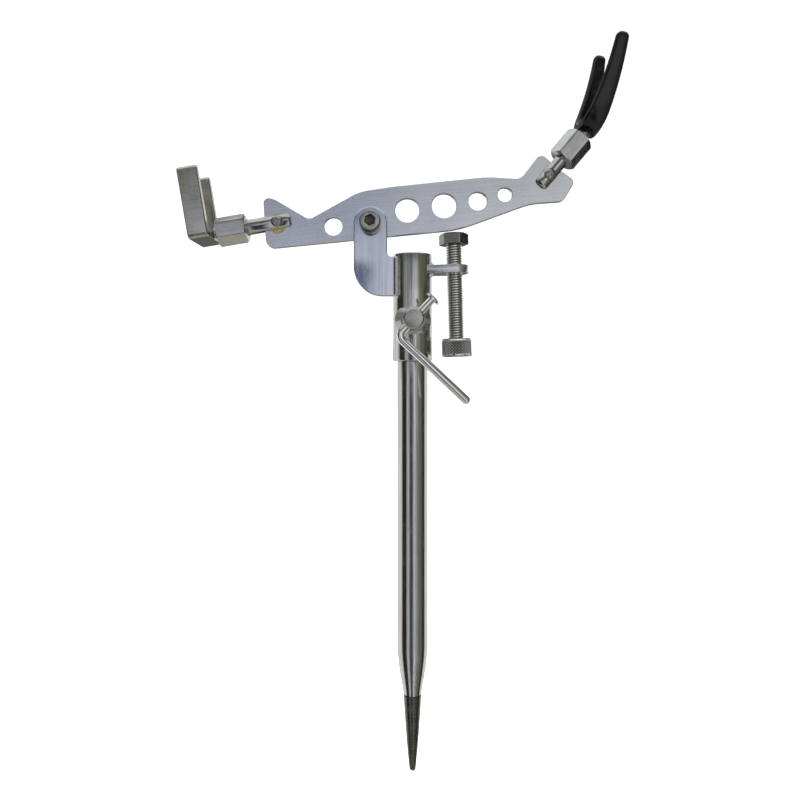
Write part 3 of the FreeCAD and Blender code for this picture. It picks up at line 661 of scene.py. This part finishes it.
def arm(end):
    """A slotted shaft on its cross-head screw, with a hexagon coupling and stud."""
    place = ARMS[end]
    merged_copy(f"{end}_shaft", polished_steel(
        f"polished_{end}_shaft", place, (0.40, 0.395, 0.37), (0.62, 0.61, 0.585), 0.07), 0.15)
    facing = place_facing(place.translation)
    merged_copy(f"{end}_screw", turned_steel(f"{end}_screw_steel", facing), 0.08)
    merged_copy(f"{end}_screw_nut", turned_steel(f"{end}_nut_steel", facing), 0.1)
    merged_copy(f"{end}_pivot_discs", brass_disc(f"{end}_brass", place))
    low = span(f"{end}_screw", facing)[0]
    nut_end = span(f"{end}_screw_nut", facing)[0].z
    add_piece(f"{end}_screw_thread",
              thread(PIN_RADIUS + 0.03, PIN_PITCH, low.z, nut_end + 0.4, bevel=0.4),
              threaded_steel(f"{end}_pin_thread", facing, PIN_RADIUS, PIN_PITCH),
              f"{end}_screw", facing)
    low, high = span(f"{end}_coupling", place)
    add_piece(f"{end}_coupling_body",
              hexagon_bar(HEX_FLATS, low.z, high.z, bore=COUPLING_BORE),
              satin_steel(f"{end}_coupling_steel", place, (0.44, 0.445, 0.45),
                          (0.66, 0.665, 0.66), 0.16), f"{end}_coupling", place)
    low, high = span(f"{end}_stud", place)
    add_piece(f"{end}_stud_thread",
              thread(STUD_RADIUS, STUD_PITCH, low.z, high.z, both=True),
              threaded_steel(f"{end}_stud_steel", place, STUD_RADIUS, STUD_PITCH),
              f"{end}_stud", place)


def hook():
    merged_copy("rear_hook", satin_steel("satin_hook", REAR, (0.42, 0.415, 0.375),
                                         (0.62, 0.61, 0.57), 0.16))


def fork():
    """The dipped fork: a rounded band swept round a U whose prongs curve back."""
    place = FRONT @ Matrix.Rotation(math.radians(FORK_TWIST), 4, "Z")
    low, high = span("fork_coating", place)
    base, tip = low.z, high.z
    foot, opening = FORK_FOOT, math.atan(4 / 28.5)
    centre = base + foot + FORK_STRIP / 2
    knee = Vector((0, foot * math.cos(opening), centre - foot * math.sin(opening)))
    way = Vector((0, math.sin(opening), math.cos(opening)))
    run = (tip - 1.6 - knee.z) / way.z
    side = [knee + way * run * (1 - step / 22) for step in range(22)]
    arc = [Vector((0, foot * math.cos(angle), centre - foot * math.sin(angle)))
           for angle in (opening + (math.pi / 2 - opening) * step / 14 for step in range(14))]
    half = side + arc
    mirrored = [Vector((0, -point.y, point.z)) for point in reversed(half)]
    line = half + [Vector((0, 0, centre - foot))] + mirrored
    bm = bmesh.new()
    loops = []
    last = len(line) - 1
    for index, point in enumerate(line):
        rise = point.z - base
        lean = math.atan(0.29 + 0.00769 * rise)
        ahead, behind = line[min(index + 1, last)], line[max(index - 1, 0)]
        travel = ahead - behind
        travel.x = -math.tan(lean) * travel.z
        travel.normalize()
        wide = Vector((math.cos(lean), 0, math.sin(lean)))
        thick = travel.cross(wide).normalized()
        point = Vector((0.5 - 0.29 * rise - 0.003845 * rise ** 2, point.y, point.z))
        half_wide = (FORK_BASE_WIDE + (FORK_TIP_WIDE - FORK_BASE_WIDE) * rise / 38.5) / 2
        rings = [(0.0, 1.0)]
        if index in (0, last):
            rings += [(math.sin(turn), math.cos(turn)) for turn in
                      (step * math.pi / 14 for step in range(1, 7))]
            if index == 0:
                rings.reverse()
        for out, shrink in rings:
            onward = travel * (out * 2.4 * (1 if index == last else -1))
            here = Matrix.Translation(point + onward) @ Matrix(
                (wide, thick, travel)).transposed().to_4x4()
            kept = 0.25 + 0.75 * shrink
            half_thick = FORK_STRIP / 2 * kept
            loops.append(rounded_ring(bm, here, half_wide * kept, half_thick,
                                      min(STRIP_EDGE, half_thick * 0.9)))
    add_piece("fork_coating_body", swept(bm, loops), dipped_black("black_dip", FRONT),
              "fork_coating", place, ("fork_core",), sharp=60)


# ------------------------------------------------------------------------- studio

def studio():
    """A pale seamless sweep, kept out of the polished steel's reflections."""
    floor = CAD_BOX[0].z
    bm = bmesh.new()
    far, bend, tall, wide = 2.4, 0.9, 3.2, 4.0
    outline = [(-3.5, floor)]
    for step in range(17):
        turn = step / 16 * math.pi / 2
        outline.append((far - bend + bend * math.sin(turn), floor + bend - bend * math.cos(turn)))
    outline.append((far, floor + tall))
    verts = [bm.verts.new((-wide, y, z)) for y, z in outline]
    edges = [bm.edges.new(pair) for pair in zip(verts, verts[1:])]
    made = bmesh.ops.extrude_edge_only(bm, edges=edges)
    moved = [part for part in made["geom"] if isinstance(part, bmesh.types.BMVert)]
    bmesh.ops.translate(bm, verts=moved, vec=(2 * wide, 0, 0))
    bmesh.ops.recalc_face_normals(bm, faces=bm.faces)
    for face in bm.faces:
        face.smooth = True
    mesh = bpy.data.meshes.new("sweep")
    bm.to_mesh(mesh)
    bm.free()
    sweep = bpy.data.objects.new("sweep", mesh)
    sweep.visible_glossy = False
    bpy.context.scene.collection.objects.link(sweep)
    paper = Shader("white_paper", metallic=0.0, Base_Color=(0.95, 0.95, 0.95, 1), Roughness=0.9)
    mesh.materials.append(paper.material)


def soft_light(name, place, aim, size, power):
    lamp = bpy.data.lights.new(name, "AREA")
    lamp.shape = "RECTANGLE"
    lamp.size, lamp.size_y = size
    lamp.energy = power
    holder = bpy.data.objects.new(name, lamp)
    holder.location = place
    holder.rotation_euler = (Vector(aim) - Vector(place)).to_track_quat("-Z", "Y").to_euler()
    holder.visible_glossy = False
    bpy.context.scene.collection.objects.link(holder)


def card(name, centre, size, lean, tone):
    """A small dull card that only the polished steel's reflections show."""
    bm = bmesh.new()
    bmesh.ops.create_grid(bm, x_segments=1, y_segments=1, size=0.5)
    facing = (Vector((0, 0, 0.2)) - Vector(centre)).to_track_quat("Z", "Y").to_matrix().to_4x4()
    place = (Matrix.Translation(Vector(centre)) @ facing @ Matrix.Rotation(lean, 4, "Z")
             @ Matrix.Diagonal((*size, 1, 1)))
    bmesh.ops.transform(bm, matrix=place, verts=bm.verts)
    mesh = bpy.data.meshes.new(name)
    bm.to_mesh(mesh)
    bm.free()
    held = bpy.data.objects.new(name, mesh)
    held.visible_camera = held.visible_shadow = held.visible_diffuse = False
    bpy.context.scene.collection.objects.link(held)
    felt = Shader(name + "_felt", metallic=0.0, Base_Color=(0, 0, 0, 1), Roughness=1.0,
                  Specular_IOR_Level=0.0, Emission_Color=(*tone, 1), Emission_Strength=1.0)
    mesh.materials.append(felt.material)


def bands(*stops):
    """Ramp stops from degrees round the room (0 behind the camera, - left) and tones."""
    return [((degrees + 180) / 360, tone) for degrees, tone in stops]


def air():
    """The room that polished steel mirrors: bright walls behind, a dim room in front."""
    world = bpy.data.worlds.new("studio_air")
    bpy.context.scene.world = world
    world.use_nodes = True
    room = Nodes(world.node_tree)
    x, y, z = room.axes(room.node("ShaderNodeTexCoord", {}, {}, "Generated"))
    turn = x.maths("ARCTAN2", x, y * -1) / FULL_TURN + 0.5
    low = room.ramp(turn, bands(
        (-180, (0.15, 0.15, 0.14)), (-158, (0.17, 0.17, 0.16)), (-148, (0.88, 0.88, 0.89)),
        (-100, (0.90, 0.90, 0.91)), (-90, (0.60, 0.60, 0.61)), (-84, (0.03, 0.03, 0.03)),
        (-50, (0.03, 0.032, 0.035)), (-42, (0.62, 0.62, 0.63)), (-28, (0.50, 0.51, 0.54)),
        (-20, (0.06, 0.07, 0.10)), (-2, (0.08, 0.085, 0.12)), (6, (0.50, 0.50, 0.56)),
        (14, (0.74, 0.74, 0.76)), (26, (0.40, 0.40, 0.38)), (46, (0.20, 0.21, 0.17)),
        (72, (0.13, 0.135, 0.11)), (84, (0.035, 0.035, 0.03)), (100, (0.04, 0.04, 0.04)),
        (108, (0.86, 0.86, 0.86)), (148, (0.90, 0.90, 0.90)), (158, (0.17, 0.17, 0.16)),
        (180, (0.15, 0.15, 0.14))))
    middle = room.ramp(turn, bands(
        (-180, (0.95, 0.95, 0.95)), (-112, (0.85, 0.85, 0.86)), (-100, (0.04, 0.04, 0.035)),
        (-62, (0.03, 0.03, 0.025)), (-52, (0.28, 0.28, 0.27)), (-36, (0.40, 0.40, 0.40)),
        (-27, (0.20, 0.20, 0.20)), (-22, (0.44, 0.44, 0.46)), (-16, (0.72, 0.73, 0.83)),
        (4, (0.70, 0.71, 0.83)), (12, (0.90, 0.90, 0.92)), (26, (0.92, 0.92, 0.92)),
        (34, (0.34, 0.35, 0.29)), (60, (0.16, 0.17, 0.125)), (78, (0.06, 0.06, 0.05)),
        (96, (0.09, 0.09, 0.08)), (108, (0.70, 0.70, 0.70)), (124, (0.92, 0.92, 0.92)),
        (180, (0.95, 0.95, 0.95))))
    high = room.ramp(turn, bands(
        (-180, (0.95, 0.95, 0.95)), (-116, (0.85, 0.85, 0.87)), (-102, (0.06, 0.06, 0.06)),
        (-68, (0.025, 0.025, 0.025)), (-56, (0.20, 0.20, 0.20)), (-45, (0.38, 0.40, 0.41)),
        (-30, (0.30, 0.31, 0.30)), (-20, (0.25, 0.26, 0.22)), (-13, (0.28, 0.31, 0.35)),
        (-8, (0.13, 0.17, 0.28)), (-4, (0.15, 0.20, 0.33)), (-1, (0.44, 0.47, 0.53)),
        (3, (0.61, 0.62, 0.65)), (12, (0.59, 0.60, 0.61)), (23, (0.66, 0.66, 0.66)),
        (33, (0.34, 0.35, 0.32)), (45, (0.17, 0.18, 0.14)), (74, (0.13, 0.135, 0.10)),
        (90, (0.11, 0.11, 0.10)), (122, (0.06, 0.06, 0.055)), (140, (0.90, 0.90, 0.90)),
        (180, (0.95, 0.95, 0.95))))
    walls = room.blend(room.between(z, -0.03, 0.03), low, middle)
    walls = room.blend(room.between(z, 0.17, 0.22), walls, high)
    walls = room.blend(room.between(z, 0.33, 0.42), walls, (0.13, 0.135, 0.13))
    walls = room.blend(room.between(z, 0.55, 0.80), walls, (0.92, 0.93, 0.95))
    walls = room.blend(room.between(z, -0.95, -0.75), (0.50, 0.47, 0.40), walls)
    mirrored = room.node("ShaderNodeLightPath", {}, {}, "Is Glossy Ray")
    seen = room.blend(mirrored, (0.92, 0.93, 0.95), walls)
    world.node_tree.links.new(seen.socket, world.node_tree.nodes["Background"].inputs["Color"])


def lights():
    aim = (0, 0, 0.17)
    soft_light("key", (-0.9, -1.3, 1.3), aim, (1.0, 1.0), 26)
    soft_light("top", (0.1, 0.1, 1.6), aim, (1.2, 0.8), 20)
    soft_light("back", (0.2, 1.3, 1.2), aim, (1.6, 0.8), 22)
    card("card_by_fork", (0.185, 0.047, 0.222), (0.07, 0.07), 0.0, (0.02, 0.02, 0.018))
    card("card_by_ear", (-0.042, -0.25, 0.208), (0.020, 0.040), 0.25, (0.10, 0.13, 0.22))
    air()
    bpy.context.scene.view_settings.view_transform = "Standard"


def camera():
    """Level, square on to the plate, as close as the holder is tall."""
    lens = bpy.data.cameras.new("camera")
    lens.sensor_width = 36
    lens.lens = 28.8
    lens.shift_x, lens.shift_y = 0.005, -0.05
    lens.clip_start, lens.clip_end = 0.01, 50
    holder = bpy.data.objects.new("camera", lens)
    holder.location = (-0.00825, -0.320, 0.1425)
    holder.rotation_euler = (math.pi / 2, 0, 0)
    bpy.context.scene.collection.objects.link(holder)
    bpy.context.scene.camera = holder


spike()
sleeve()
head()
plate()
bolt()
knob()
clamp()
for end in ARMS:
    arm(end)
hook()
fork()
studio()
lights()
camera()
